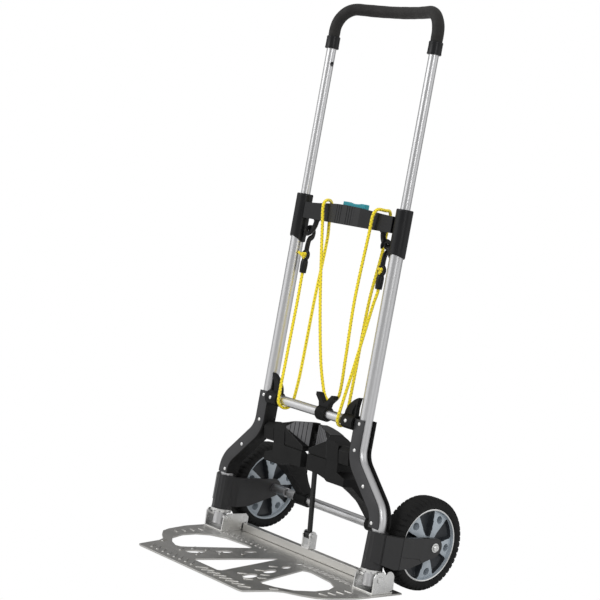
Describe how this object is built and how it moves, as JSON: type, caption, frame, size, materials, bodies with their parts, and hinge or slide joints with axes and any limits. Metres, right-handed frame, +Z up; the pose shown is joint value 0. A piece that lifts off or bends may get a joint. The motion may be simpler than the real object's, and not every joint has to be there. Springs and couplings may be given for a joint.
{
  "type": "folding hand truck",
  "caption": "Folding aluminium hand truck with a cut-out toe plate, swing-in wheels, a telescopic foam-grip handle and an elastic cord.",
  "frame": {"origin": "on the ground under the toe plate, midway between the frame tubes and in line with their lower ends", "axes": "+Z up, -Y forward over the toe plate, +X to the right of a person who stands in front of the plate and faces the truck"},
  "size_m": [0.5236, 0.4355, 1.0398],
  "materials": {
    "tube_aluminium": "satin anodised",
    "sheet_aluminium": "satin pressed sheet",
    "zinc_steel": "bright zinc",
    "black_plastic": "fine grain moulded",
    "satin_black_plastic": "satin moulded",
    "black_paint": "satin black",
    "foam": "closed-cell foam",
    "tyre": "solid rubber",
    "grey_plastic": "satin moulded",
    "teal_plastic": "satin moulded",
    "cord": "braided sleeve"
  },
  "bodies": {
    "frame": {"left_lower_tube": "tube_aluminium", "right_lower_tube": "tube_aluminium", "left_side_cover": "black_plastic", "right_side_cover": "black_plastic", "left_pivot_wing": "black_plastic", "right_pivot_wing": "black_plastic", "left_pivot_pin": "zinc_steel", "right_pivot_pin": "zinc_steel", "crown": "black_plastic", "upper_cross_tube": "tube_aluminium", "cord_clip": "black_plastic", "left_tube_housing": "satin_black_plastic", "right_tube_housing": "satin_black_plastic", "crossbar_front_shell": "satin_black_plastic", "crossbar_rear_shell": "satin_black_plastic", "button_spring": "zinc_steel", "bungee_cord": "cord", "left_cord_hook": "black_plastic", "right_cord_hook": "black_plastic"},
    "handle": {"handle_tube": "tube_aluminium", "foam_grip": "foam", "left_grip_collar": "satin_black_plastic", "right_grip_collar": "satin_black_plastic", "left_guide_bush": "black_plastic", "right_guide_bush": "black_plastic"},
    "button": {"release_button": "teal_plastic"},
    "left_pin": {"left_lock_pin": "zinc_steel"},
    "right_pin": {"right_lock_pin": "zinc_steel"},
    "toe": {"toe_plate": "sheet_aluminium", "rear_rail": "sheet_aluminium", "left_hinge_bracket": "zinc_steel", "right_hinge_bracket": "zinc_steel", "left_hinge_pin": "zinc_steel", "right_hinge_pin": "zinc_steel", "strut_clevis": "zinc_steel", "strut_pin": "zinc_steel"},
    "strut": {"strut": "black_paint"},
    "left_fork": {"left_wheel_fork": "black_plastic", "left_fork_gear": "zinc_steel", "left_axle_stub": "tube_aluminium", "left_axle_bolt": "zinc_steel"},
    "right_fork": {"right_wheel_fork": "black_plastic", "right_fork_gear": "zinc_steel", "right_axle_stub": "tube_aluminium", "right_axle_bolt": "zinc_steel"},
    "left_wheel": {"left_tyre": "tyre", "left_wheel_rim": "grey_plastic", "left_wheel_bush": "black_plastic"},
    "right_wheel": {"right_tyre": "tyre", "right_wheel_rim": "grey_plastic", "right_wheel_bush": "black_plastic"},
    "rear_legs": {"left_rear_leg": "black_plastic", "right_rear_leg": "black_plastic", "axle_tube": "tube_aluminium"}
  },
  "joints": [
    {"name": "toe_fold", "type": "hinge", "parent": "frame", "child": "toe", "pos_m": [0, 0.00162, 0.02895], "axis": [-1, 0, 0], "range_deg": [0, 93]},
    {"name": "left_fork_fold", "type": "hinge", "parent": "frame", "child": "left_fork", "pos_m": [-0.215, 0.00435, 0.07788], "axis": [0, -0.0558, -0.9984], "range_deg": [0, 90.1]},
    {"name": "right_fork_fold", "type": "hinge", "parent": "frame", "child": "right_fork", "pos_m": [0.215, 0.00435, 0.07788], "axis": [0, 0.0558, 0.9984], "range_deg": [0, 90.1]},
    {"name": "rear_leg_fold", "type": "hinge", "parent": "frame", "child": "rear_legs", "pos_m": [0, 0.02426, 0.21899], "axis": [1, 0, 0], "range_deg": [0, 135.1]},
    {"name": "strut_fold", "type": "hinge", "parent": "toe", "child": "strut", "pos_m": [0, 0.045, 0.044], "axis": [1, 0, 0], "range_deg": [0, 88.7]},
    {"name": "left_wheel_spin", "type": "hinge", "parent": "left_fork", "child": "left_wheel", "pos_m": [-0.222, 0.11167, 0.0859], "axis": [1, 0, 0], "continuous": true},
    {"name": "right_wheel_spin", "type": "hinge", "parent": "right_fork", "child": "right_wheel", "pos_m": [0.222, 0.11167, 0.0859], "axis": [1, 0, 0], "continuous": true},
    {"name": "handle_slide", "type": "slide", "parent": "frame", "child": "handle", "axis": [0, -0.0558, -0.9984], "range_m": [0, 0.27]},
    {"name": "button_press", "type": "slide", "parent": "frame", "child": "button", "axis": [0, -0.0558, -0.9984], "range_m": [0, 0.005], "stiffness_N_per_m": 600, "springref_m": -0.003, "deforming": ["button_spring"]},
    {"name": "left_pin_slide", "type": "slide", "parent": "frame", "child": "left_pin", "axis": [1, 0, 0], "range_m": [0, 0.009]},
    {"name": "right_pin_slide", "type": "slide", "parent": "frame", "child": "right_pin", "axis": [-1, 0, 0], "range_m": [0, 0.009]}
  ],
  "couplings": [
    {"joint": "left_fork_fold", "follows": "toe_fold", "ratio": 0.968},
    {"joint": "right_fork_fold", "follows": "toe_fold", "ratio": 0.968},
    {"joint": "rear_leg_fold", "follows": "toe_fold", "ratio": 1.452},
    {"joint": "strut_fold", "follows": "toe_fold", "ratio": 0.953},
    {"joint": "left_pin_slide", "follows": "button_press", "ratio": 1.8},
    {"joint": "right_pin_slide", "follows": "button_press", "ratio": 1.8}
  ]
}
